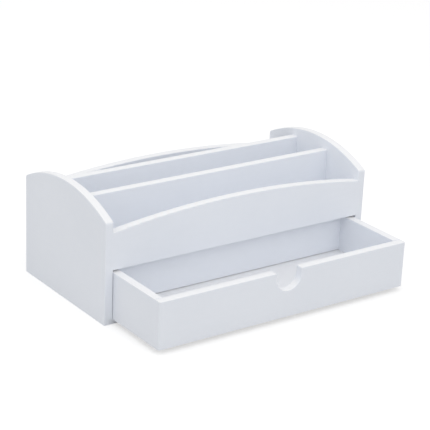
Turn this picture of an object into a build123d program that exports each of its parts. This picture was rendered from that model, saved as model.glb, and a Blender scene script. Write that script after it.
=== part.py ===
"""White painted board desk organizer: three upper rows over one inset drawer.

Units are millimetres. X runs along the width, the front faces -Y and +Z is up. The
origin is on the surface the organizer stands on, at the middle of the cabinet's
footprint. The drawer is drawn pulled out, with drawer_length_inside still in the cabinet.
"""

import os

from build123d import *

os.makedirs("parts", exist_ok=True)

# Cabinet, overall
overall_width = 330.0
overall_depth = 160.0
side_end_height = 109.0
side_arch_rise = 20.0
side_corner_radius = 3.0

# Boards of the cabinet
board_thickness = 9.0
base_thickness = 5.0
floor_thickness = 6.0
front_panel_end_height = 98.0
front_panel_rise = 12.0
back_panel_end_height = 95.5
back_panel_rise = 12.0
divider_top = 117.0
front_row_depth = 46.5
rear_row_depth = 33.0
housing_depth = 3.0
glue_gap = 0.1
edge_softening = 1.0
lower_edge_softening = 0.4

# Drawer
drawer_height = 50.5
drawer_board = 9.0
drawer_side_gap = 0.6
drawer_slide_gap = 0.3
drawer_top_gap = 2.2
drawer_stop_gap = 4.0
drawer_length_inside = 22.0
drawer_corner_radius = 2.2
drawer_bottom_thickness = 3.0
drawer_bottom_lift = 6.0
drawer_back_foot_gap = 0.8
notch_width = 31.5
notch_straight = 5.8
notch_lip_radius = 1.8

# Dowels, screws and nails
dowel_diameter = 5.0
dowel_length = 18.0
dowel_face_depth = 5.5
dowel_chamfer = 0.6
dowel_radial_gap = 0.1
dowel_end_gap = 0.4
dowel_edge_inset = 12.0
screw_diameter = 3.0
screw_length = 20.0
screw_head_diameter = 5.8
screw_head_height = 2.0
screw_point_length = 3.0
screw_tip_radius = 0.3
screw_recess_width = 3.2
screw_recess_slot = 0.7
screw_recess_depth = 1.0
screw_gap = 0.2
screw_pitch = 74.0
screws_per_row = 4
nail_diameter = 1.4
nail_length = 14.0
nail_head_diameter = 2.8
nail_head_height = 0.5
nail_pitch = 100.0
nails_in_drawer = 3
nail_gap = 0.1

# Places worked out from the sizes above
half_width = overall_width / 2
half_depth = overall_depth / 2
inner_half = half_width - board_thickness
drawer_z0 = base_thickness + drawer_slide_gap
drawer_z1 = drawer_z0 + drawer_height
front_panel_bottom = drawer_z1 + drawer_top_gap
floor_top = front_panel_bottom + floor_thickness
front_panel_y = -half_depth + board_thickness / 2
back_panel_y = half_depth - board_thickness / 2
front_divider_y = -half_depth + 1.5 * board_thickness + front_row_depth
rear_divider_y = half_depth - 1.5 * board_thickness - rear_row_depth
rear_divider_front = rear_divider_y - board_thickness / 2

drawer_half = inner_half - drawer_side_gap
drawer_length = half_depth + rear_divider_front - drawer_stop_gap
drawer_rear_y = -half_depth + drawer_length_inside
drawer_front_y = drawer_rear_y - drawer_length
drawer_bottom_z0 = drawer_z0 + drawer_bottom_lift
drawer_bottom_z1 = drawer_bottom_z0 + drawer_bottom_thickness
drawer_back_y = drawer_rear_y - drawer_board / 2
drawer_back_z0 = drawer_bottom_z1 + drawer_back_foot_gap
drawer_side_x = drawer_half - drawer_board / 2
drawer_inner_half = drawer_half - drawer_board
drawer_groove_y = drawer_front_y + drawer_board
notch_bottom = drawer_z1 - notch_straight - notch_width / 2
drawer_groove_z = (drawer_bottom_z0 + drawer_bottom_z1) / 2
drawer_groove_height = drawer_bottom_thickness + 2 * glue_gap
floor_front = -half_depth + board_thickness
floor_housing_z = front_panel_bottom + floor_thickness / 2
floor_housing_height = floor_thickness + 2 * glue_gap

dowel_bore_radius = dowel_diameter / 2 + dowel_radial_gap
dowel_face_bore = dowel_face_depth + dowel_end_gap
dowel_bore_length = dowel_length - dowel_face_depth + dowel_end_gap
pilot_radius = screw_diameter / 2 + screw_gap
pilot_depth = screw_length - base_thickness + 2 * screw_gap
nail_hole_radius = nail_diameter / 2 + nail_gap
front_panel_dowels_z = (
    floor_top + dowel_diameter,
    front_panel_end_height - dowel_edge_inset,
)
front_divider_dowels_z = (
    floor_top + dowel_edge_inset,
    divider_top - dowel_edge_inset,
)
rear_divider_dowels_z = (
    base_thickness + dowel_edge_inset,
    front_panel_bottom - dowel_edge_inset,
    divider_top - dowel_edge_inset,
)
back_panel_dowels_z = (
    base_thickness + dowel_edge_inset,
    (base_thickness + back_panel_end_height) / 2,
    back_panel_end_height - dowel_edge_inset,
)
drawer_dowels_z = (
    drawer_back_z0 + dowel_diameter,
    drawer_z1 - dowel_diameter - lower_edge_softening,
)
screw_rows_y = (rear_divider_y, back_panel_y)


def save(part, label):
    """Labels a finished piece and writes it to its own file."""
    part.label = label
    export_step(part, f"parts/{label}.step")


def dowel_points(y, heights):
    """Returns the (y, z) centres of one board's dowels in a side panel."""
    return [(y, z) for z in heights]


def circles(plane, radius, points):
    """Returns equal circles at points of a plane."""
    with BuildSketch(plane) as pattern:
        with Locations(*points):
            Circle(radius)
    return pattern.sketch


def side_plane(x, y=0.0):
    """Returns the plane at x that faces +X, its own x and y along Y and Z."""
    return Plane(origin=(x, y, 0), x_dir=(0, 1, 0), z_dir=(1, 0, 0))


def end_circles(half_length, y, heights, radius=dowel_diameter / 2):
    """Returns pairs of a hand and the circles on that end of a cross board."""
    return [
        (
            hand,
            circles(side_plane(hand * half_length), radius, dowel_points(y, heights)),
        )
        for hand in (-1, 1)
    ]


def row_points(pitch, count, y):
    """Returns the centres of a row of fasteners along X."""
    return [((i - (count - 1) / 2) * pitch, y) for i in range(count)]


screw_points = [
    point for y in screw_rows_y for point in row_points(screw_pitch, screws_per_row, y)
]
drawer_front_points = [
    (hand * drawer_side_x, z) for hand in (-1, 1) for z in drawer_dowels_z
]
nail_points = row_points(nail_pitch, nails_in_drawer, drawer_back_y)


# Side panels: arched top, a housing for the compartment floor, a rebate for the base
# board and blind bores for the dowels of the four cross boards. Up to the top of the
# front and back panels the inner edges stay square, so that those boards end flush.
square_inner_edges = ((-1, front_panel_end_height), (1, back_panel_end_height))
side_bores = (
    dowel_points(front_panel_y, front_panel_dowels_z)
    + dowel_points(front_divider_y, front_divider_dowels_z)
    + dowel_points(rear_divider_y, rear_divider_dowels_z)
    + dowel_points(back_panel_y, back_panel_dowels_z)
)


def make_side_panel(label, hand):
    """Builds one side panel; hand is -1 for the left and +1 for the right."""
    inner_face = side_plane(hand * inner_half)
    with BuildPart() as side_panel:
        with BuildSketch(inner_face):
            with BuildLine():
                Polyline(
                    (-half_depth, side_end_height),
                    (-half_depth, 0),
                    (half_depth, 0),
                    (half_depth, side_end_height),
                )
                ThreePointArc(
                    (half_depth, side_end_height),
                    (0, side_end_height + side_arch_rise),
                    (-half_depth, side_end_height),
                )
            make_face()
        extrude(amount=hand * board_thickness)
        top_corners = side_panel.edges().filter_by(Axis.X).group_by(Axis.Z)[-1]
        fillet(top_corners, side_corner_radius)
        rims = side_panel.faces().sort_by(Axis.X)
        outer_face = rims[-1] if hand > 0 else rims[0]
        inner_rim = rims[0] if hand > 0 else rims[-1]
        fillet(outer_face.edges().filter_by(Axis.Y, reverse=True), edge_softening)
        fillet(
            inner_rim.edges()
            .filter_by(Axis.Y, reverse=True)
            .filter_by(Axis.Z, reverse=True),
            edge_softening,
        )
        for end, panel_top in square_inner_edges:
            edge_x = hand * (inner_half + edge_softening / 2)
            edge_y = end * (half_depth - edge_softening / 2)
            with Locations((edge_x, edge_y, 0)):
                Box(
                    edge_softening,
                    edge_softening,
                    panel_top - edge_softening,
                    align=(Align.CENTER, Align.CENTER, Align.MIN),
                )
        with BuildSketch(inner_face):
            with Locations(
                ((floor_front + rear_divider_front) / 2, floor_housing_z)
            ):
                Rectangle(rear_divider_front - floor_front, floor_housing_height)
        extrude(amount=hand * housing_depth, mode=Mode.SUBTRACT)
        with BuildSketch(inner_face):
            with Locations((0, (base_thickness + glue_gap) / 2)):
                Rectangle(overall_depth, base_thickness + glue_gap)
        extrude(amount=hand * housing_depth, mode=Mode.SUBTRACT)
        with BuildSketch(inner_face):
            with Locations(*side_bores):
                Circle(dowel_bore_radius)
        extrude(amount=hand * dowel_face_bore, mode=Mode.SUBTRACT)
    save(side_panel.part, label)


make_side_panel("left_side_panel", -1)
make_side_panel("right_side_panel", 1)


def arched_outline(plane, bottom, end_height, rise):
    """Returns a board's outline between the sides, with a gently arched top."""
    with BuildSketch(plane) as outline:
        with BuildLine():
            Polyline(
                (-inner_half, end_height),
                (-inner_half, bottom),
                (inner_half, bottom),
                (inner_half, end_height),
            )
            ThreePointArc(
                (inner_half, end_height),
                (0, end_height + rise),
                (-inner_half, end_height),
            )
        make_face()
    return outline.sketch


# Front panel: closes the front row above the drawer opening.
with BuildPart() as front_panel:
    extrude(
        arched_outline(
            Plane.XZ.offset(half_depth),
            front_panel_bottom,
            front_panel_end_height,
            front_panel_rise,
        ),
        amount=-board_thickness,
    )
    fillet(front_panel.edges().filter_by(GeomType.CIRCLE), edge_softening)
    fillet(
        front_panel.edges().filter_by(Axis.X).group_by(Axis.Z)[0].sort_by(Axis.Y)[0],
        lower_edge_softening,
    )
    for hand, bores in end_circles(
        inner_half, front_panel_y, front_panel_dowels_z, dowel_bore_radius
    ):
        extrude(bores, amount=-hand * dowel_bore_length, mode=Mode.SUBTRACT)
save(front_panel.part, "front_panel")

# Back panel: stands on the base board and closes the rear row.
with BuildPart() as back_panel:
    extrude(
        arched_outline(
            Plane.XZ.offset(-half_depth + board_thickness),
            base_thickness,
            back_panel_end_height,
            back_panel_rise,
        ),
        amount=-board_thickness,
    )
    fillet(back_panel.edges().filter_by(GeomType.CIRCLE), edge_softening)
    for hand, bores in end_circles(
        inner_half, back_panel_y, back_panel_dowels_z, dowel_bore_radius
    ):
        extrude(bores, amount=-hand * dowel_bore_length, mode=Mode.SUBTRACT)
    pilots = circles(
        Plane.XY.offset(base_thickness),
        pilot_radius,
        row_points(screw_pitch, screws_per_row, back_panel_y),
    )
    extrude(pilots, amount=pilot_depth, mode=Mode.SUBTRACT)
save(back_panel.part, "back_panel")

# Front divider: stands on the compartment floor.
with BuildPart() as front_divider:
    with Locations((0, front_divider_y, floor_top)):
        Box(
            2 * inner_half,
            board_thickness,
            divider_top - floor_top,
            align=(Align.CENTER, Align.CENTER, Align.MIN),
        )
    fillet(
        front_divider.edges().filter_by(Axis.X).group_by(Axis.Z)[-1], edge_softening
    )
    for hand, bores in end_circles(
        inner_half, front_divider_y, front_divider_dowels_z, dowel_bore_radius
    ):
        extrude(bores, amount=-hand * dowel_bore_length, mode=Mode.SUBTRACT)
save(front_divider.part, "front_divider")

# Rear divider: runs down to the base board, so it also stops the closing drawer. A
# housing in its front face holds the rear edge of the compartment floor.
with BuildPart() as rear_divider:
    with Locations((0, rear_divider_y, base_thickness)):
        Box(
            2 * inner_half,
            board_thickness,
            divider_top - base_thickness,
            align=(Align.CENTER, Align.CENTER, Align.MIN),
        )
    fillet(
        rear_divider.edges().filter_by(Axis.X).group_by(Axis.Z)[-1], edge_softening
    )
    with Locations((0, rear_divider_front, floor_housing_z)):
        Box(
            2 * inner_half,
            2 * housing_depth,
            floor_housing_height,
            mode=Mode.SUBTRACT,
        )
    for hand, bores in end_circles(
        inner_half, rear_divider_y, rear_divider_dowels_z, dowel_bore_radius
    ):
        extrude(bores, amount=-hand * dowel_bore_length, mode=Mode.SUBTRACT)
    pilots = circles(
        Plane.XY.offset(base_thickness),
        pilot_radius,
        row_points(screw_pitch, screws_per_row, rear_divider_y),
    )
    extrude(pilots, amount=pilot_depth, mode=Mode.SUBTRACT)
save(rear_divider.part, "rear_divider")

# Compartment floor: housed in both side panels and in the rear divider. Only the part
# in front of the rear divider reaches into the side housings.
with BuildPart() as compartment_floor:
    with BuildSketch(Plane.XY.offset(front_panel_bottom)):
        with Locations((0, (floor_front + rear_divider_front) / 2)):
            Rectangle(
                2 * (inner_half + housing_depth - glue_gap),
                rear_divider_front - floor_front - 2 * glue_gap,
            )
        with Locations((0, rear_divider_front)):
            Rectangle(
                2 * (inner_half - glue_gap),
                2 * (housing_depth - glue_gap),
            )
    extrude(amount=floor_thickness)
save(compartment_floor.part, "compartment_floor")

# Base board: in the rebates of the side panels, with countersunk screw holes below.
with BuildPart() as base_board:
    with Locations((0, 0, 0)):
        Box(
            2 * (inner_half + housing_depth - glue_gap),
            overall_depth,
            base_thickness,
            align=(Align.CENTER, Align.CENTER, Align.MIN),
        )
    extrude(
        circles(Plane.XY, pilot_radius, screw_points),
        amount=base_thickness,
        mode=Mode.SUBTRACT,
    )
    with Locations(*screw_points):
        Cone(
            screw_head_diameter / 2 + screw_gap,
            pilot_radius,
            screw_head_height + screw_gap,
            align=(Align.CENTER, Align.CENTER, Align.MIN),
            mode=Mode.SUBTRACT,
        )
save(base_board.part, "base_board")


# Dowels of the cross boards: one group for each board, half of it at each end.
def make_board_dowels(label, y, heights):
    """Builds the dowels that join one cross board to both side panels."""
    with BuildPart() as dowels:
        for hand, ends in end_circles(inner_half + dowel_face_depth, y, heights):
            extrude(ends, amount=-hand * dowel_length)
        chamfer(dowels.edges().filter_by(GeomType.CIRCLE), dowel_chamfer)
    save(dowels.part, label)


make_board_dowels("front_panel_dowels", front_panel_y, front_panel_dowels_z)
make_board_dowels("back_panel_dowels", back_panel_y, back_panel_dowels_z)
make_board_dowels("front_divider_dowels", front_divider_y, front_divider_dowels_z)
make_board_dowels("rear_divider_dowels", rear_divider_y, rear_divider_dowels_z)

# Base screws: driven up through the base board into the rear divider and back panel.
with BuildPart() as base_board_screws:
    with Locations(*[(x, y, screw_gap) for x, y in screw_points]):
        Cone(
            screw_head_diameter / 2,
            screw_diameter / 2,
            screw_head_height,
            align=(Align.CENTER, Align.CENTER, Align.MIN),
        )
        Cylinder(
            screw_diameter / 2,
            screw_length - screw_point_length,
            align=(Align.CENTER, Align.CENTER, Align.MIN),
        )
        for size in (
            (screw_recess_width, screw_recess_slot),
            (screw_recess_slot, screw_recess_width),
        ):
            Box(*size, 2 * screw_recess_depth, mode=Mode.SUBTRACT)
    point_z = screw_gap + screw_length - screw_point_length
    with Locations(*[(x, y, point_z) for x, y in screw_points]):
        Cone(
            screw_diameter / 2,
            screw_tip_radius,
            screw_point_length,
            align=(Align.CENTER, Align.CENTER, Align.MIN),
        )
save(base_board_screws.part, "base_board_screws")


# Drawer front: as wide as the drawer box, with a finger notch in the middle of its top
# edge and a groove behind for the drawer bottom. The notch's rim is softened with the
# rest of the top edge.
def on_top_rim(edge):
    """Tells whether an edge of the drawer front outlines its top or its notch."""
    middle = edge @ 0.5
    if abs(middle.X) > drawer_inner_half:
        return middle.Z > drawer_z1 - glue_gap
    runs_across = abs((edge % 0.5).Y) > 0.5
    return not runs_across and middle.Z > notch_bottom - glue_gap


with BuildPart() as drawer_front:
    with BuildSketch(Plane.XZ.offset(-drawer_front_y)) as front_outline:
        with Locations((0, (drawer_z0 + drawer_z1) / 2)):
            Rectangle(2 * drawer_half, drawer_height)
        with Locations((0, drawer_z1 - notch_straight)):
            Circle(notch_width / 2, mode=Mode.SUBTRACT)
        with Locations((0, drawer_z1)):
            Rectangle(notch_width, 2 * notch_straight, mode=Mode.SUBTRACT)
        lips = front_outline.vertices().group_by(Axis.Y)[-1].sort_by(Axis.X)[1:3]
        fillet(lips, notch_lip_radius)
    extrude(amount=-drawer_board)
    uprights = drawer_front.edges().filter_by(Axis.Z).group_by(Axis.Y)[0]
    corners = uprights.sort_by(Axis.X)
    fillet((corners[0], corners[-1]), drawer_corner_radius)
    fillet(drawer_front.edges().filter_by(on_top_rim), edge_softening)
    with Locations((0, drawer_groove_y, drawer_groove_z)):
        Box(
            2 * (drawer_inner_half + housing_depth),
            2 * housing_depth,
            drawer_groove_height,
            mode=Mode.SUBTRACT,
        )
    extrude(
        circles(
            Plane.XZ.offset(-drawer_groove_y), dowel_bore_radius, drawer_front_points
        ),
        amount=dowel_face_bore,
        mode=Mode.SUBTRACT,
    )
save(drawer_front.part, "drawer_front")


def make_drawer_side(label, hand):
    """Builds one drawer side; hand is -1 for the left and +1 for the right."""
    side_length = drawer_rear_y - drawer_groove_y
    with BuildPart() as drawer_side:
        with Locations((hand * drawer_side_x, drawer_groove_y, drawer_z0)):
            Box(
                drawer_board,
                side_length,
                drawer_height,
                align=(Align.CENTER, Align.MIN, Align.MIN),
            )
        fillet(
            drawer_side.edges().filter_by(Axis.Y).group_by(Axis.Z)[-1],
            edge_softening,
        )
        with Locations((hand * drawer_inner_half, drawer_groove_y, drawer_groove_z)):
            Box(
                2 * housing_depth,
                side_length,
                drawer_groove_height,
                align=(Align.CENTER, Align.MIN, Align.CENTER),
                mode=Mode.SUBTRACT,
            )
        front_bores = circles(
            Plane.XZ.offset(-drawer_groove_y),
            dowel_bore_radius,
            [(hand * drawer_side_x, z) for z in drawer_dowels_z],
        )
        extrude(front_bores, amount=-dowel_bore_length, mode=Mode.SUBTRACT)
        back_bores = circles(
            side_plane(hand * drawer_inner_half),
            dowel_bore_radius,
            dowel_points(drawer_back_y, drawer_dowels_z),
        )
        extrude(back_bores, amount=hand * dowel_face_bore, mode=Mode.SUBTRACT)
    save(drawer_side.part, label)


make_drawer_side("drawer_left_side", -1)
make_drawer_side("drawer_right_side", 1)

# Drawer back: between the drawer sides, just above the drawer bottom.
with BuildPart() as drawer_back:
    with Locations((0, drawer_back_y, drawer_back_z0)):
        Box(
            2 * drawer_inner_half,
            drawer_board,
            drawer_z1 - drawer_back_z0,
            align=(Align.CENTER, Align.CENTER, Align.MIN),
        )
    fillet(drawer_back.edges().filter_by(Axis.X).group_by(Axis.Z)[-1], edge_softening)
    for hand, bores in end_circles(
        drawer_inner_half, drawer_back_y, drawer_dowels_z, dowel_bore_radius
    ):
        extrude(bores, amount=-hand * dowel_bore_length, mode=Mode.SUBTRACT)
    extrude(
        circles(Plane.XY.offset(drawer_back_z0), nail_hole_radius, nail_points),
        amount=nail_length,
        mode=Mode.SUBTRACT,
    )
save(drawer_back.part, "drawer_back")

# Drawer bottom: slides into the grooves from behind, under the drawer back.
with BuildPart() as drawer_bottom:
    bottom_y0 = drawer_groove_y - housing_depth + glue_gap
    with Locations((0, bottom_y0, drawer_bottom_z0)):
        Box(
            2 * (drawer_inner_half + housing_depth - glue_gap),
            drawer_rear_y - bottom_y0,
            drawer_bottom_thickness,
            align=(Align.CENTER, Align.MIN, Align.MIN),
        )
    extrude(
        circles(Plane.XY.offset(drawer_bottom_z0), nail_hole_radius, nail_points),
        amount=drawer_bottom_thickness,
        mode=Mode.SUBTRACT,
    )
save(drawer_bottom.part, "drawer_bottom")

# Nails that hold the drawer bottom to the drawer back, driven from below.
with BuildPart() as drawer_bottom_nails:
    nail_z = drawer_bottom_z0 - nail_head_height
    with Locations(*[(x, y, nail_z) for x, y in nail_points]):
        Cylinder(
            nail_head_diameter / 2,
            nail_head_height,
            align=(Align.CENTER, Align.CENTER, Align.MIN),
        )
        Cylinder(
            nail_diameter / 2,
            nail_length,
            align=(Align.CENTER, Align.CENTER, Align.MIN),
        )
save(drawer_bottom_nails.part, "drawer_bottom_nails")

# Dowels of the drawer: along Y into the front, along X into the back.
with BuildPart() as drawer_front_dowels:
    tip_y = drawer_groove_y - dowel_face_depth
    extrude(
        circles(Plane.XZ.offset(-tip_y), dowel_diameter / 2, drawer_front_points),
        amount=-dowel_length,
    )
    chamfer(drawer_front_dowels.edges().filter_by(GeomType.CIRCLE), dowel_chamfer)
save(drawer_front_dowels.part, "drawer_front_dowels")

with BuildPart() as drawer_back_dowels:
    for hand, ends in end_circles(
        drawer_inner_half + dowel_face_depth, drawer_back_y, drawer_dowels_z
    ):
        extrude(ends, amount=-hand * dowel_length)
    chamfer(drawer_back_dowels.edges().filter_by(GeomType.CIRCLE), dowel_chamfer)
save(drawer_back_dowels.part, "drawer_back_dowels")
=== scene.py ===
"""Painted board desk organizer with one drawer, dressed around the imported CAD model.

Everything is in metres in the CAD frame: X along the width, -Y out of the front and
+Z up. The boards are the CAD nodes themselves, with their painted finish. The plain
dowels, screws and nails are swapped for fluted, threaded and domed ones that are
modelled here, one for each CAD solid and in its place.
"""

import logging
import math
from collections.abc import Callable
from dataclasses import dataclass
from enum import Enum

import bmesh
import bpy
from mathutils import Matrix, Vector


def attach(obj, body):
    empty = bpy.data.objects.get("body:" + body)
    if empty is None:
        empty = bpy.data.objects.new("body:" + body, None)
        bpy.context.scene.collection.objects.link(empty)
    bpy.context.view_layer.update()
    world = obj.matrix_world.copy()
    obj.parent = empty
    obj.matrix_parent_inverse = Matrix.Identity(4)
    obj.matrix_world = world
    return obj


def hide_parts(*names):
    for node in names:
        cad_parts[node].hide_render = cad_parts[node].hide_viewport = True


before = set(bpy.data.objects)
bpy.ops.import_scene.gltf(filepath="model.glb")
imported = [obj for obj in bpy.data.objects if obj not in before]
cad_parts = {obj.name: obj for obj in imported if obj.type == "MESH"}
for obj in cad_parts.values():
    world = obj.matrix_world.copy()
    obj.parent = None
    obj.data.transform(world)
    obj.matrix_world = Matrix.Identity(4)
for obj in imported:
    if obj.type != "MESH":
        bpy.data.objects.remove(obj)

LOG = logging.getLogger("organizer")
PHOTO_SIDE = 430
MM = 0.001
QUARTER_TURN = math.pi / 2

Socket = bpy.types.NodeSocket
Colour = tuple[float, float, float]
Pair = tuple[float, float]


class Body(Enum):
    """The two CAD bodies of the organizer."""

    CABINET = "cabinet"
    DRAWER = "drawer"


class Slot(Enum):
    """Names of the record's material slots for the new pieces; each fastener group holds
    one, but nothing reads it.
    """

    WOOD = "dowel_wood"
    STEEL = "screw_steel"


class Lie(Enum):
    """The way a fastener points, with the turn that brings it there from +Z."""

    ALONG_X = (0.0, QUARTER_TURN, 0.0)
    ALONG_Y = (-QUARTER_TURN, 0.0, 0.0)
    UPRIGHT = (0.0, 0.0, 0.0)

    @property
    def axis(self) -> int:
        """Index of the axis that the fastener runs along."""
        return (Lie.ALONG_X, Lie.ALONG_Y, Lie.UPRIGHT).index(self)


class NodeSketch:
    """A material's node tree, with short calls to add and join nodes."""

    EVEN = (1.0, 1.0, 1.0)
    FACING_STEP = (0.35, 0.75)
    UNIT = (0.0, 1.0)

    def __init__(self, name: str) -> None:
        """Starts an empty node material.

        Args:
            name: Name of the material.
        """
        self.material = bpy.data.materials.new(name)
        self.material.use_nodes = True
        self.tree = self.material.node_tree
        self.tree.nodes.clear()
        self.output = self.tree.nodes.new("ShaderNodeOutputMaterial")

    def add(self, kind: str, **values: object) -> bpy.types.Node:
        """Adds a node and sets its properties or its input sockets.

        Args:
            kind: Blender's type name of the node.
            **values: Properties of the node, or inputs whose spaces are written
                as underscores.

        Returns:
            The new node.
        """
        node = self.tree.nodes.new(kind)
        for key, value in values.items():
            socket = node.inputs.get(key.replace("_", " "))
            if hasattr(node, key) and socket is None:
                setattr(node, key, value)
            else:
                socket.default_value = value
        return node

    def join(self, source: Socket, target: Socket) -> None:
        """Links one socket to another."""
        self.tree.links.new(source, target)

    def pattern_space(self, stretch: tuple[float, float, float] = EVEN) -> Socket:
        """Returns Object coordinates multiplied axis by axis.

        Args:
            stretch: Factor for each axis.

        Returns:
            The vector socket to feed a texture.
        """
        where = self.add("ShaderNodeTexCoord")
        scale = self.add("ShaderNodeMapping", Scale=stretch)
        self.join(where.outputs["Object"], scale.inputs["Vector"])
        return scale.outputs["Vector"]

    def facing(self, axis: str) -> Socket:
        """Returns how squarely the surface faces along an axis of the object.

        Args:
            axis: "X", "Y" or "Z".

        Returns:
            A value socket, 0 across the axis and 1 along it, with a soft step.
        """
        where = self.add("ShaderNodeTexCoord")
        split = self.add("ShaderNodeSeparateXYZ")
        size = self.add("ShaderNodeMath", operation="ABSOLUTE")
        self.join(where.outputs["Normal"], split.inputs["Vector"])
        self.join(split.outputs[axis], size.inputs[0])
        return self.remap(size.outputs["Value"], self.FACING_STEP, self.UNIT)

    def noise(self, space: Socket, scale: float, detail: float, rough: float) -> Socket:
        """Returns the value of a noise texture.

        Args:
            space: Vector socket that places the pattern.
            scale: Cells to the metre.
            detail: Octaves of the noise.
            rough: How much the finer octaves count.

        Returns:
            The noise value socket.
        """
        texture = self.add(
            "ShaderNodeTexNoise", Scale=scale, Detail=detail, Roughness=rough
        )
        self.join(space, texture.inputs["Vector"])
        return texture.outputs["Fac"]

    def remap(self, value: Socket, source: Pair, target: Pair) -> Socket:
        """Maps a value from one range to another and clamps it.

        Args:
            value: Socket of the value.
            source: Range it comes in.
            target: Range it is mapped to.

        Returns:
            The mapped value socket.
        """
        node = self.add(
            "ShaderNodeMapRange",
            From_Min=source[0],
            From_Max=source[1],
            To_Min=target[0],
            To_Max=target[1],
        )
        self.join(value, node.inputs["Value"])
        return node.outputs["Result"]

    def combine(self, first: Socket, second: Socket, weight: float) -> Socket:
        """Returns first plus weight times second."""
        node = self.add("ShaderNodeMath", operation="MULTIPLY_ADD")
        multiplied, factor, added = node.inputs
        self.join(second, multiplied)
        factor.default_value = weight
        self.join(first, added)
        return node.outputs["Value"]

    def greater(self, first: Socket, second: Socket) -> Socket:
        """Returns the greater of two values."""
        node = self.add("ShaderNodeMath", operation="MAXIMUM")
        self.join(first, node.inputs[0])
        self.join(second, node.inputs[1])
        return node.outputs["Value"]

    def blend_values(self, factor: Socket, first: Socket, second: Socket) -> Socket:
        """Returns a value between two, by a factor from 0 to 1."""
        return self._blend("FLOAT", factor, first, second)

    def blend_colours(
        self, factor: Socket, first: Socket | Colour, second: Colour
    ) -> Socket:
        """Returns a colour between two, by a factor from 0 to 1.

        Args:
            factor: Socket of the factor.
            first: Colour at 0, plain or from a socket.
            second: Colour at 1.

        Returns:
            The colour socket.
        """
        return self._blend("RGBA", factor, first, second)

    def _blend(
        self,
        kind: str,
        factor: Socket,
        first: Socket | Colour,
        second: Socket | Colour,
    ) -> Socket:
        """Adds a Mix node of one data type.

        Args:
            kind: "FLOAT" or "RGBA".
            factor: Socket of the factor.
            first: What shows at 0.
            second: What shows at 1.

        Returns:
            The node's output of that data type.
        """
        node = self.add("ShaderNodeMix", data_type=kind)
        self.join(factor, node.inputs["Factor"])
        for letter, source in (("A", first), ("B", second)):
            (target,) = (
                socket
                for socket in node.inputs
                if socket.enabled and socket.name == letter
            )
            if isinstance(source, Socket):
                self.join(source, target)
            else:
                target.default_value = (*source, 1.0)
        (result,) = (socket for socket in node.outputs if socket.enabled)
        return result

    def bump(self, height: Socket, depth: float) -> Socket:
        """Returns a normal bent by a height pattern.

        Args:
            height: Socket of the height, 0 to 1.
            depth: Metres from 0 to 1.

        Returns:
            The normal socket.
        """
        node = self.add("ShaderNodeBump", Distance=depth, Strength=1.0)
        self.join(height, node.inputs["Height"])
        return node.outputs["Normal"]

    def surface(self, **values: object) -> bpy.types.Node:
        """Adds the Principled shader and joins it to the output."""
        shader = self.add("ShaderNodeBsdfPrincipled", **values)
        self.join(shader.outputs["BSDF"], self.output.inputs["Surface"])
        return shader


@dataclass(frozen=True)
class SatinPaint:
    """Cool white satin paint on fibreboard, rolled on along each face.

    The numbers called _per_metre are noise scales, the _share ones say how much a
    pattern adds to the tone, the gloss or the relief, and the _span ones are ranges.
    """

    colour: Colour = (0.838, 0.866, 0.920)
    shade: Colour = (0.810, 0.840, 0.897)
    # edge: painted top light, the warmer, less blue colour that up-facing faces are drawn
    # toward for the light falling on them
    edge: Colour = (0.852, 0.858, 0.876)
    clouds_per_metre: float = 9.0
    fine_per_metre: float = 130.0
    stipple_per_metre: float = 850.0
    streaks_per_metre: float = 620.0
    streak_stretch: float = 0.035
    fine_share: float = 0.35
    rolled_share: float = 0.3
    tone_span: Pair = (0.55, 1.1)
    gloss_rolled_share: float = 0.5
    gloss_source_span: Pair = (0.4, 1.1)
    roughness_span: Pair = (0.42, 0.56)
    top_dullness: float = 0.08
    relief_rolled_share: float = 0.8
    relief: float = 0.05 * MM
    coat: float = 0.12
    coat_roughness: float = 0.32
    refraction: float = 1.5

    def make(self) -> bpy.types.Material:
        """Builds the paint.

        The roller marks run along X on the faces that look to the front or back and
        along Y on the faces that look to a side, so they don't change at a seam. The
        upper edges of the boards have taken the paint without a roller and are a
        little duller and warmer.

        Returns:
            The material.
        """
        sketch = NodeSketch("satin_paint")
        even = sketch.pattern_space()
        along_x = sketch.pattern_space((self.streak_stretch, 1.0, 1.0))
        along_y = sketch.pattern_space((1.0, self.streak_stretch, 1.0))
        to_side = sketch.facing("X")
        to_top = sketch.facing("Z")
        clouds = sketch.noise(even, self.clouds_per_metre, 3.0, 0.55)
        fine = sketch.noise(even, self.fine_per_metre, 2.0, 0.5)
        stipple = sketch.noise(even, self.stipple_per_metre, 2.0, 0.5)
        streaks = sketch.blend_values(
            to_side,
            sketch.noise(along_x, self.streaks_per_metre, 3.0, 0.6),
            sketch.noise(along_y, self.streaks_per_metre, 3.0, 0.6),
        )
        rolled = sketch.blend_values(to_top, streaks, stipple)
        tone = sketch.combine(clouds, fine, self.fine_share)
        tone = sketch.combine(tone, rolled, self.rolled_share)
        flat = sketch.blend_colours(
            sketch.remap(tone, self.tone_span, sketch.UNIT), self.colour, self.shade
        )
        gloss = sketch.remap(
            sketch.combine(clouds, rolled, self.gloss_rolled_share),
            self.gloss_source_span,
            self.roughness_span,
        )
        height = sketch.combine(stipple, rolled, self.relief_rolled_share)
        shader = sketch.surface(
            IOR=self.refraction,
            Coat_Weight=self.coat,
            Coat_Roughness=self.coat_roughness,
        )
        for name, source in {
            # faces that look up take the painted top light colour (edge), a tint for the
            # light on tops
            "Base Color": sketch.blend_colours(to_top, flat, self.edge),
            "Roughness": sketch.combine(gloss, to_top, self.top_dullness),
            "Normal": sketch.bump(height, self.relief),
        }.items():
            sketch.join(source, shader.inputs[name])
        return sketch.material


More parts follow.
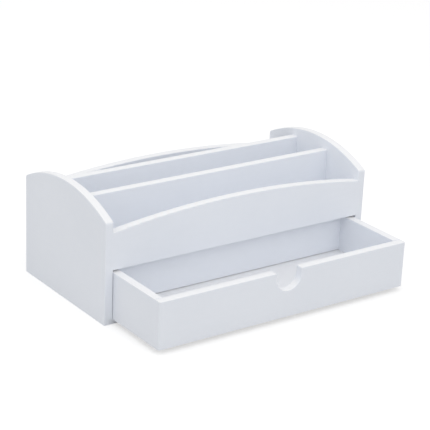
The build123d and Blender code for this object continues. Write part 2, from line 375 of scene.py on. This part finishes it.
@dataclass(frozen=True)
class BeechWood:
    """Bare beech of the dowels, with its short flecks."""

    light: Colour = (0.62, 0.42, 0.25)
    dark: Colour = (0.42, 0.25, 0.13)
    fibres_per_metre: float = 1500.0
    fibre_stretch: float = 0.06
    flecks_per_metre: float = 600.0
    fleck_stretch: float = 0.2
    fleck_share: float = 0.6
    tone_span: Pair = (0.55, 1.05)
    roughness: float = 0.62
    refraction: float = 1.5
    relief: float = 0.06 * MM

    def make(self, lie: Lie) -> bpy.types.Material:
        """Builds the wood of dowels that lie one way.

        Args:
            lie: The way the dowels, and so their fibres, point.

        Returns:
            The material.
        """
        sketch = NodeSketch("beech_" + lie.name.lower())
        fibre_space = self._along(sketch, lie, self.fibre_stretch)
        fibres = sketch.noise(fibre_space, self.fibres_per_metre, 4.0, 0.6)
        fleck_space = self._along(sketch, lie, self.fleck_stretch)
        flecks = sketch.noise(fleck_space, self.flecks_per_metre, 2.0, 0.5)
        tone = sketch.combine(fibres, flecks, self.fleck_share)
        colour = sketch.blend_colours(
            sketch.remap(tone, self.tone_span, sketch.UNIT), self.light, self.dark
        )
        shader = sketch.surface(Roughness=self.roughness, IOR=self.refraction)
        sketch.join(colour, shader.inputs["Base Color"])
        sketch.join(sketch.bump(fibres, self.relief), shader.inputs["Normal"])
        return sketch.material

    def _along(self, sketch: NodeSketch, lie: Lie, stretch: float) -> Socket:
        """Returns a pattern space drawn out along the dowels."""
        drawn = (stretch, 1.0, 1.0) if lie is Lie.ALONG_X else (1.0, stretch, 1.0)
        return sketch.pattern_space(drawn)


@dataclass(frozen=True)
class ZincPlate:
    """Bright zinc plating of the screws and nails, clouded and finely scratched."""

    bright: Colour = (0.66, 0.67, 0.69)
    dull: Colour = (0.46, 0.47, 0.48)
    clouds_per_metre: float = 700.0
    clouds_span: Pair = (0.35, 0.7)
    grit_per_metre: float = 5200.0
    grit_share: float = 0.4
    gloss_source_span: Pair = (0.4, 1.0)
    roughness_span: Pair = (0.26, 0.46)
    relief: float = 0.01 * MM

    def make(self) -> bpy.types.Material:
        """Builds the plating.

        Returns:
            The material.
        """
        sketch = NodeSketch("zinc_plate")
        even = sketch.pattern_space()
        clouds = sketch.noise(even, self.clouds_per_metre, 3.0, 0.6)
        grit = sketch.noise(even, self.grit_per_metre, 2.0, 0.5)
        colour = sketch.blend_colours(
            sketch.remap(clouds, self.clouds_span, sketch.UNIT), self.bright, self.dull
        )
        gloss = sketch.remap(
            sketch.combine(clouds, grit, self.grit_share),
            self.gloss_source_span,
            self.roughness_span,
        )
        shader = sketch.surface(Metallic=1.0)
        sketch.join(colour, shader.inputs["Base Color"])
        sketch.join(gloss, shader.inputs["Roughness"])
        sketch.join(sketch.bump(grit, self.relief), shader.inputs["Normal"])
        return sketch.material


class Finishes:
    """The finishes of the organizer, made once and shared."""

    def __init__(self) -> None:
        """Makes every finish."""
        self.paint = SatinPaint().make()
        self.beech = {
            lie: BeechWood().make(lie) for lie in (Lie.ALONG_X, Lie.ALONG_Y)
        }
        self.zinc = ZincPlate().make()

    @staticmethod
    def dress(piece: bpy.types.Object, material: bpy.types.Material) -> None:
        """Puts one material in every slot of a piece.

        Args:
            piece: A mesh object.
            material: Its finish.
        """
        if not piece.material_slots:
            piece.data.materials.append(material)
        for slot in piece.material_slots:
            slot.material = material


class Bench:
    """Steps of modelling by hand that the new pieces share."""

    @staticmethod
    def select_only(piece: bpy.types.Object) -> None:
        """Makes a piece the only selected one, and the active one."""
        bpy.ops.object.select_all(action="DESELECT")
        piece.select_set(True)
        bpy.context.view_layer.objects.active = piece

    @staticmethod
    def start_disc(name: str, sides: int, radius: float) -> bpy.types.Object:
        """Adds a disc at the origin and opens it for editing.

        Args:
            name: Name of the piece.
            sides: Corners of the disc.
            radius: Its radius.

        Returns:
            The piece, in edit mode and selected all over.
        """
        bpy.ops.object.select_all(action="DESELECT")
        bpy.ops.mesh.primitive_circle_add(
            vertices=sides, radius=radius, fill_type="NGON"
        )
        piece = bpy.context.active_object
        piece.name = piece.data.name = name
        bpy.ops.object.mode_set(mode="EDIT")
        bpy.ops.mesh.select_all(action="SELECT")
        return piece

    @classmethod
    def grow(cls, rise: float, ratio: float) -> None:
        """Extrudes the selected face upwards and widens or narrows it.

        Args:
            rise: Distance up.
            ratio: New radius over the old one.
        """
        bpy.ops.mesh.extrude_region_move(TRANSFORM_OT_translate={"value": (0, 0, rise)})
        cls.widen(ratio)

    @classmethod
    def turn_profile(
        cls, name: str, sides: int, profile: list[Pair]
    ) -> bpy.types.Object:
        """Grows a round solid from its bottom disc, ring by ring.

        Args:
            name: Name of the piece.
            sides: Corners of each ring.
            profile: The (height, radius) of each ring, from z = 0 up.

        Returns:
            The piece, closed and in edit mode.
        """
        height, radius = profile[0]
        piece = cls.start_disc(name, sides, radius)
        for next_height, next_radius in profile[1:]:
            cls.grow(next_height - height, next_radius / radius)
            height, radius = next_height, next_radius
        bpy.ops.mesh.select_all(action="SELECT")
        bpy.ops.mesh.normals_make_consistent(inside=False)
        return piece

    @staticmethod
    def widen(ratio: float) -> None:
        """Scales what is selected about the piece's upright axis."""
        bpy.ops.transform.resize(value=(ratio, ratio, 1.0), center_override=(0, 0, 0))

    @staticmethod
    def select_vertices(
        piece: bpy.types.Object, wanted: Callable[[Vector], bool]
    ) -> None:
        """Selects the vertices of a piece in edit mode that pass a test.

        Args:
            piece: The piece being edited.
            wanted: Function of a vertex's place that returns True to select it.
        """
        bpy.ops.mesh.select_mode(type="VERT")
        bpy.ops.mesh.select_all(action="DESELECT")
        shape = bmesh.from_edit_mesh(piece.data)
        for vertex in shape.verts:
            vertex.select = wanted(vertex.co)
        shape.select_flush(True)
        bmesh.update_edit_mesh(piece.data)

    @classmethod
    def cut_or_join(
        cls, piece: bpy.types.Object, tool: bpy.types.Object, operation: str
    ) -> None:
        """Applies a boolean with a tool piece, which is then removed.

        Args:
            piece: The piece that is changed.
            tool: The other solid.
            operation: "UNION" or "DIFFERENCE".
        """
        cls.select_only(piece)
        modifier = piece.modifiers.new("shape", "BOOLEAN")
        modifier.operation = operation
        modifier.object = tool
        modifier.solver = "MANIFOLD"
        bpy.ops.object.modifier_apply(modifier=modifier.name)
        bpy.data.objects.remove(tool)

    @classmethod
    def weld(cls, piece: bpy.types.Object, distance: float) -> None:
        """Merges the corners that booleans leave closer together than a distance."""
        cls.select_only(piece)
        bpy.ops.object.mode_set(mode="EDIT")
        bpy.ops.mesh.select_mode(type="VERT")
        bpy.ops.mesh.select_all(action="SELECT")
        bpy.ops.mesh.remove_doubles(threshold=distance)
        bpy.ops.object.mode_set(mode="OBJECT")

    @classmethod
    def smooth(cls, piece: bpy.types.Object, degrees: float) -> None:
        """Shades a piece smooth, with edges sharper than an angle left crisp."""
        cls.select_only(piece)
        bpy.ops.object.shade_smooth_by_angle(angle=math.radians(degrees))


@dataclass(frozen=True)
class Dowel:
    """A fluted beech dowel pin, upright, with its lower end at z = 0."""

    diameter: float = 5.0 * MM
    length: float = 18.0 * MM
    chamfer: float = 0.6 * MM
    end_ratio: float = 0.8
    flutes: int = 12
    corners_per_flute: int = 4
    flute_ratio: float = 0.92
    crisp_degrees: float = 20.0

    def model(self) -> bpy.types.Object:
        """Returns the finished dowel."""
        radius = self.diameter / 2
        end = radius * self.end_ratio
        dowel = Bench.turn_profile(
            "dowel",
            self.flutes * self.corners_per_flute,
            [
                (0.0, end),
                (self.chamfer, radius),
                (self.length - self.chamfer, radius),
                (self.length, end),
            ],
        )
        Bench.select_vertices(dowel, self._in_flute)
        Bench.widen(self.flute_ratio)
        bpy.ops.object.mode_set(mode="OBJECT")
        Bench.smooth(dowel, self.crisp_degrees)
        return dowel

    def _in_flute(self, place: Vector) -> bool:
        """Tells whether a vertex is one of those that lie deepest in a flute."""
        step = math.tau / (self.flutes * self.corners_per_flute)
        corner = round(math.atan2(place.y, place.x) / step)
        return corner % self.corners_per_flute == 0


@dataclass(frozen=True)
class Screw:
    """A countersunk wood screw, upright on its head, with the head's face at z = 0."""

    length: float = 20.0 * MM
    head_diameter: float = 5.8 * MM
    head_height: float = 2.0 * MM
    head_edge: float = 0.2 * MM
    crest_diameter: float = 3.0 * MM
    root_diameter: float = 2.1 * MM
    neck_length: float = 1.6 * MM
    neck_ratio: float = 1.15
    point_length: float = 3.6 * MM
    point_rings: int = 8
    point_fullness: float = 1.5
    point_bluntness: float = 0.01
    pitch: float = 1.35 * MM
    runout_turns: float = 0.5
    ridge_width: float = 0.55 * MM
    ridge_sunk: float = 0.15 * MM
    sides: int = 32
    weld_distance: float = 0.003 * MM
    recess_width: float = 3.2 * MM
    recess_slot: float = 0.75 * MM
    recess_depth: float = 1.1 * MM
    recess_taper: float = 0.55
    crisp_degrees: float = 35.0

    def model(self) -> bpy.types.Object:
        """Returns the finished screw."""
        screw = self._turn_blank()
        Bench.cut_or_join(screw, self._wind_thread(), "UNION")
        self._sharpen(screw)
        for width, slot in (
            (self.recess_width, self.recess_slot),
            (self.recess_slot, self.recess_width),
        ):
            Bench.cut_or_join(screw, self._recess_bar(width, slot), "DIFFERENCE")
        Bench.weld(screw, self.weld_distance)
        Bench.smooth(screw, self.crisp_degrees)
        return screw

    def _turn_blank(self) -> bpy.types.Object:
        """Returns the screw without its thread, point and recess."""
        head, root = self.head_diameter / 2, self.root_diameter / 2
        blank = Bench.turn_profile(
            "screw",
            self.sides,
            [
                (0.0, head - self.head_edge / 2),
                (self.head_edge / 2, head),
                (self.head_edge, head),
                (self.head_height, root * self.neck_ratio),
                (self.head_height + self.neck_length, root),
                (self.length - self.point_length, root),
                (self.length, root),
            ],
        )
        bpy.ops.object.mode_set(mode="OBJECT")
        return blank

    def _wind_thread(self) -> bpy.types.Object:
        """Returns the ridge of the thread, wound from the neck to the point."""
        start = self.head_height + self.neck_length
        foot = self.root_diameter / 2 - self.ridge_sunk
        corners = (
            (foot, 0.0, start - self.ridge_width / 2),
            (foot, 0.0, start + self.ridge_width / 2),
            (self.crest_diameter / 2, 0.0, start),
        )
        bpy.ops.object.select_all(action="DESELECT")
        bpy.ops.mesh.primitive_circle_add(vertices=3, radius=self.ridge_width)
        ridge = bpy.context.active_object
        ridge.name = "thread"
        for vertex, corner in zip(ridge.data.vertices, corners):
            vertex.co = corner
        winding = ridge.modifiers.new("winding", "SCREW")
        winding.axis = "Z"
        winding.screw_offset = self.pitch
        turns = (self.length - start) / self.pitch
        winding.iterations = int(turns - self.runout_turns)
        winding.steps = winding.render_steps = self.sides
        bpy.ops.object.modifier_apply(modifier=winding.name)
        bpy.ops.object.mode_set(mode="EDIT")
        bpy.ops.mesh.select_all(action="SELECT")
        bpy.ops.mesh.fill_holes(sides=3)
        bpy.ops.mesh.select_all(action="SELECT")
        bpy.ops.mesh.normals_make_consistent(inside=False)
        bpy.ops.object.mode_set(mode="OBJECT")
        return ridge

    def _sharpen(self, screw: bpy.types.Object) -> None:
        """Draws the end of the screw in to its point, ring by ring."""
        bpy.ops.object.mode_set(mode="EDIT")
        step = self.point_length / self.point_rings
        shoulder = self.length - self.point_length
        for ring in range(self.point_rings):
            height = shoulder + ring * step
            bpy.ops.mesh.select_all(action="SELECT")
            bpy.ops.mesh.bisect(plane_co=(0, 0, height), plane_no=(0, 0, 1))
        drawn = 1.0
        for ring in range(1, self.point_rings + 1):
            just_below = shoulder + (ring - 0.25) * step
            along = ring / self.point_rings
            share = math.sqrt(max(1.0 - along**self.point_fullness, self.point_bluntness))
            Bench.select_vertices(screw, lambda place, z=just_below: place.z > z)
            Bench.widen(share / drawn)
            drawn = share
        bpy.ops.object.mode_set(mode="OBJECT")

    def _recess_bar(self, width: float, depth: float) -> bpy.types.Object:
        """Returns the cutter of one bar of the cross recess.

        Args:
            width: Its size along X.
            depth: Its size along Y.

        Returns:
            A tapered bar across the head's face.
        """
        bpy.ops.object.select_all(action="DESELECT")
        bpy.ops.mesh.primitive_cube_add(size=1.0)
        bar = bpy.context.active_object
        bar.dimensions = (width, depth, 2 * self.recess_depth)
        bpy.ops.object.transform_apply(location=True, rotation=True, scale=True)
        bpy.ops.object.mode_set(mode="EDIT")
        Bench.select_vertices(bar, lambda place: place.z > 0)
        Bench.widen(self.recess_taper)
        bpy.ops.object.mode_set(mode="OBJECT")
        return bar


@dataclass(frozen=True)
class Nail:
    """A small flat nail, upright on its head, with the head's top at z = 0."""

    length: float = 14.0 * MM
    diameter: float = 1.4 * MM
    head_diameter: float = 2.8 * MM
    head_height: float = 0.5 * MM
    dome: float = 0.18 * MM
    dome_rings: tuple[Pair, ...] = ((0.0, 0.35), (0.3, 0.72), (1.0, 0.96), (1.5, 1.0))
    grips: int = 5
    grip_pitch: float = 0.45 * MM
    grip_ratio: float = 0.9
    point_length: float = 2.4 * MM
    tip_ratio: float = 0.12
    sides: int = 24
    crisp_degrees: float = 35.0

    def model(self) -> bpy.types.Object:
        """Returns the finished nail."""
        head, shank = self.head_diameter / 2, self.diameter / 2
        profile = [(self.dome * up, head * out) for up, out in self.dome_rings]
        profile += [(self.head_height, head), (self.head_height, shank)]
        height = self.head_height + self.grip_pitch
        for _ in range(self.grips):
            profile.append((height, shank))
            profile.append((height + self.grip_pitch / 4, shank * self.grip_ratio))
            height += self.grip_pitch
            profile.append((height - self.grip_pitch / 4, shank))
        profile.append((self.length - self.point_length, shank))
        profile.append((self.length, shank * self.tip_ratio))
        nail = Bench.turn_profile("nail", self.sides, profile)
        bpy.ops.object.mode_set(mode="OBJECT")
        Bench.smooth(nail, self.crisp_degrees)
        return nail


class Solids:
    """The separate solids of one CAD node."""

    MERGE_DISTANCE = MM / 1000

    def __init__(self, node: str) -> None:
        """Reads the boxes of the node's solids.

        Args:
            node: Name of the CAD node.
        """
        shape = bmesh.new()
        shape.from_mesh(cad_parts[node].data)
        bmesh.ops.remove_doubles(shape, verts=shape.verts[:], dist=self.MERGE_DISTANCE)
        waiting = set(shape.verts)
        self.boxes: list[tuple[Vector, Vector]] = []
        while waiting:
            found = self._reach(waiting.pop())
            waiting -= found
            self.boxes.append(self._box(found))
        shape.free()
        self.boxes.sort(key=lambda box: tuple(round(x / MM, 2) for x in box[0]))

    @staticmethod
    def _reach(start: bmesh.types.BMVert) -> set[bmesh.types.BMVert]:
        """Returns every vertex joined to one by edges."""
        found, border = {start}, [start]
        while border:
            vertex = border.pop()
            for edge in vertex.link_edges:
                other = edge.other_vert(vertex)
                if other not in found:
                    found.add(other)
                    border.append(other)
        return found

    @staticmethod
    def _box(vertices: set[bmesh.types.BMVert]) -> tuple[Vector, Vector]:
        """Returns the lowest and highest corners of some vertices."""
        columns = list(zip(*(vertex.co for vertex in vertices)))
        return Vector(map(min, columns)), Vector(map(max, columns))


@dataclass(frozen=True)
class FastenerGroup:
    """One CAD node of like fasteners and what stands for it."""

    node: str
    body: Body
    slot: Slot
    lie: Lie

    def build(
        self, template: bpy.types.Object, material: bpy.types.Material
    ) -> bpy.types.Object:
        """Copies a fastener into the place of each solid of the node.

        Args:
            template: The fastener, upright with its foot at the origin.
            material: Its finish.

        Returns:
            One piece with every fastener of the group.
        """
        copies = [
            self._place(template, low, high) for low, high in Solids(self.node).boxes
        ]
        bpy.ops.object.select_all(action="DESELECT")
        for copy in copies:
            copy.select_set(True)
        bpy.context.view_layer.objects.active = copies[0]
        bpy.ops.object.join()
        piece = bpy.context.active_object
        piece.name = piece.data.name = "detailed_" + self.node
        Finishes.dress(piece, material)
        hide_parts(self.node)
        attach(piece, self.body.value)
        LOG.info("%s: %d modelled", piece.name, len(copies))
        return piece

    def _place(
        self, template: bpy.types.Object, low: Vector, high: Vector
    ) -> bpy.types.Object:
        """Puts one copy with its own mesh where a solid is.

        Args:
            template: The upright fastener.
            low: Lowest corner of the solid.
            high: Highest corner of the solid.

        Returns:
            The copy, its place in its mesh.
        """
        Bench.select_only(template)
        bpy.ops.object.duplicate(linked=False)
        copy = bpy.context.active_object
        foot = (low + high) / 2
        foot[self.lie.axis] = low[self.lie.axis]
        copy.rotation_euler = self.lie.value
        copy.location = foot
        bpy.ops.object.transform_apply(location=True, rotation=True, scale=True)
        return copy


@dataclass(frozen=True)
class SubAssembly:
    """What the cabinet and the drawer share: painted boards and their finishes."""

    finishes: Finishes
    boards: tuple[str, ...] = ()
    body: Body = Body.CABINET

    def paint_boards(self) -> None:
        """Gives every board its paint."""
        for board in self.boards:
            Finishes.dress(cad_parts[board], self.finishes.paint)
            LOG.info("%s: painted", board)

    def fit_wood(self, node: str, dowel: bpy.types.Object, lie: Lie) -> None:
        """Puts the dowels of one node in their holes.

        Args:
            node: Name of the CAD node.
            dowel: The template dowel.
            lie: The way the dowels point.
        """
        group = FastenerGroup(node, self.body, Slot.WOOD, lie)
        group.build(dowel, self.finishes.beech[lie])

    def fit_steel(self, node: str, fastener: bpy.types.Object) -> None:
        """Drives the screws or nails of one node up from below."""
        group = FastenerGroup(node, self.body, Slot.STEEL, Lie.UPRIGHT)
        group.build(fastener, self.finishes.zinc)


@dataclass(frozen=True)
class Cabinet(SubAssembly):
    """The standing part: two sides, four cross boards, a floor and a base."""

    boards: tuple[str, ...] = (
        "left_side_panel",
        "right_side_panel",
        "front_panel",
        "back_panel",
        "front_divider",
        "rear_divider",
        "compartment_floor",
        "base_board",
    )
    dowelled: tuple[str, ...] = (
        "front_panel",
        "back_panel",
        "front_divider",
        "rear_divider",
    )

    def fit_dowels(self, dowel: bpy.types.Object) -> None:
        """Puts the dowels between the cross boards and the sides."""
        for board in self.dowelled:
            self.fit_wood(board + "_dowels", dowel, Lie.ALONG_X)

    def drive_screws(self, screw: bpy.types.Object) -> None:
        """Puts the screws under the base board."""
        self.fit_steel("base_board_screws", screw)


@dataclass(frozen=True)
class Drawer(SubAssembly):
    """The sliding part: a notched front, two sides, a back and a thin bottom."""

    boards: tuple[str, ...] = (
        "drawer_front",
        "drawer_left_side",
        "drawer_right_side",
        "drawer_back",
        "drawer_bottom",
    )
    body: Body = Body.DRAWER

    def fit_dowels(self, dowel: bpy.types.Object) -> None:
        """Puts the dowels at the four corners of the drawer."""
        self.fit_wood("drawer_front_dowels", dowel, Lie.ALONG_Y)
        self.fit_wood("drawer_back_dowels", dowel, Lie.ALONG_X)

    def drive_nails(self, nail: bpy.types.Object) -> None:
        """Puts the nails through the drawer bottom into the drawer back."""
        self.fit_steel("drawer_bottom_nails", nail)


@dataclass(frozen=True)
class Lamp:
    """A square soft lamp that looks at the object from a distance."""

    name: str
    azimuth: float
    elevation: float
    power: float
    side: float = 1.6
    distance: float = 2.2

    def hang(self) -> None:
        """Hangs the lamp; azimuth 0 is in front and -90 on the left."""
        light = bpy.data.lights.new(self.name, "AREA")
        light.shape = "SQUARE"
        light.size = self.side
        light.energy = self.power
        around, rise = math.radians(self.azimuth), math.radians(self.elevation)
        lamp = bpy.data.objects.new(self.name, light)
        lamp.location = self.distance * Vector(
            (
                math.sin(around) * math.cos(rise),
                -math.cos(around) * math.cos(rise),
                math.sin(rise),
            )
        )
        lamp.rotation_euler = (-lamp.location).to_track_quat("-Z", "Y").to_euler()
        bpy.context.scene.collection.objects.link(lamp)


@dataclass(frozen=True)
class Studio:
    """Plain floor, soft light and the camera that took the photograph."""

    camera_at: tuple[float, float, float] = (-0.89295, -1.24866, 0.64798)
    yaw: float = 0.63342
    pitch: float = 0.36510
    roll: float = 0.04533
    focal_pixels: float = 1524.63
    sensor_width: float = 36.0
    nearest: float = 0.05
    farthest: float = 50.0
    floor_side: float = 12.0
    floor_tone: float = 0.6
    floor_shade: float = 0.55
    floor_glow: float = 0.52
    sky_strength: float = 0.75
    lamps: tuple[Lamp, ...] = (
        Lamp("top_lamp", 0.0, 88.0, 5.2),
        Lamp("left_lamp", -90.0, 45.0, 5.2),
        Lamp("front_lamp", 0.0, 45.0, 9.0),
    )

    def place_camera(self) -> None:
        """Sets the camera to the photograph's place, direction and angle of view."""
        forward = Vector(
            (
                math.sin(self.yaw) * math.cos(self.pitch),
                math.cos(self.yaw) * math.cos(self.pitch),
                -math.sin(self.pitch),
            )
        )
        right = Vector((math.cos(self.yaw), -math.sin(self.yaw), 0.0))
        up = right.cross(forward)
        level, upright = math.cos(self.roll), math.sin(self.roll)
        turned_right = level * right + upright * up
        turned_up = level * up - upright * right
        data = bpy.data.cameras.new("camera")
        data.sensor_width = self.sensor_width
        data.lens = self.focal_pixels / PHOTO_SIDE * self.sensor_width
        data.clip_start, data.clip_end = self.nearest, self.farthest
        camera = bpy.data.objects.new("camera", data)
        turn = Matrix((turned_right, turned_up, -forward)).transposed()
        camera.matrix_world = Matrix.Translation(self.camera_at) @ turn.to_4x4()
        bpy.context.scene.collection.objects.link(camera)
        bpy.context.scene.camera = camera

    def lay_floor(self) -> None:
        """Lays a large floor that is white to the camera and keeps the shadow."""
        bpy.ops.object.select_all(action="DESELECT")
        bpy.ops.mesh.primitive_plane_add(size=self.floor_side)
        floor = bpy.context.active_object
        floor.name = "floor"
        sketch = NodeSketch("floor")
        path = sketch.add("ShaderNodeLightPath")
        plain = sketch.add("ShaderNodeBsdfDiffuse", Color=self._grey(self.floor_tone))
        seen = sketch.add("ShaderNodeBsdfDiffuse", Color=self._grey(self.floor_shade))
        glow = sketch.add("ShaderNodeEmission", Strength=self.floor_glow)
        both = sketch.add("ShaderNodeAddShader")
        pick = sketch.add("ShaderNodeMixShader")
        direct = sketch.greater(
            path.outputs["Is Camera Ray"], path.outputs["Is Glossy Ray"]
        )
        sketch.join(seen.outputs["BSDF"], both.inputs[0])
        sketch.join(glow.outputs["Emission"], both.inputs[1])
        sketch.join(direct, pick.inputs["Fac"])
        sketch.join(plain.outputs["BSDF"], pick.inputs[1])
        sketch.join(both.outputs["Shader"], pick.inputs[2])
        sketch.join(pick.outputs["Shader"], sketch.output.inputs["Surface"])
        floor.data.materials.append(sketch.material)

    @staticmethod
    def _grey(tone: float) -> tuple[float, float, float, float]:
        """Returns an opaque grey."""
        return (tone, tone, tone, 1.0)

    def hang_sky(self) -> None:
        """Sets a white world: plain light on the object, pure white to the camera."""
        world = bpy.data.worlds.new("studio")
        world.use_nodes = True
        bpy.context.scene.world = world
        tree = world.node_tree
        path = tree.nodes.new("ShaderNodeLightPath")
        shown = tree.nodes.new("ShaderNodeMath")
        shown.operation = "MAXIMUM"
        either = tree.nodes.new("ShaderNodeMath")
        either.operation = "MAXIMUM"
        tree.links.new(path.outputs["Is Camera Ray"], shown.inputs[0])
        tree.links.new(path.outputs["Is Glossy Ray"], shown.inputs[1])
        tree.links.new(shown.outputs["Value"], either.inputs[0])
        tree.links.new(path.outputs["Is Transmission Ray"], either.inputs[1])
        level = tree.nodes.new("ShaderNodeMapRange")
        level.inputs["To Min"].default_value = self.sky_strength
        level.inputs["To Max"].default_value = 1.0
        tree.links.new(either.outputs["Value"], level.inputs["Value"])
        background = tree.nodes["Background"]
        background.inputs["Color"].default_value = (1.0, 1.0, 1.0, 1.0)
        tree.links.new(level.outputs["Result"], background.inputs["Strength"])

    def build(self) -> None:
        """Makes the camera, the floor, the world and the lamps."""
        self.place_camera()
        self.lay_floor()
        self.hang_sky()
        for lamp in self.lamps:
            lamp.hang()
            LOG.info("%s: hung", lamp.name)
        bpy.context.scene.view_settings.view_transform = "Standard"


def main() -> None:
    """Builds the organizer's looks in order and reports each piece."""
    logging.basicConfig(level=logging.INFO, format="%(name)s: %(message)s")
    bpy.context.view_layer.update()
    finishes = Finishes()
    cabinet, drawer = Cabinet(finishes), Drawer(finishes)
    cabinet.paint_boards()
    drawer.paint_boards()
    dowel, screw, nail = Dowel().model(), Screw().model(), Nail().model()
    cabinet.fit_dowels(dowel)
    cabinet.drive_screws(screw)
    drawer.fit_dowels(dowel)
    drawer.drive_nails(nail)
    for template in (dowel, screw, nail):
        bpy.data.objects.remove(template)
    Studio().build()


if __name__ == "__main__":
    main()
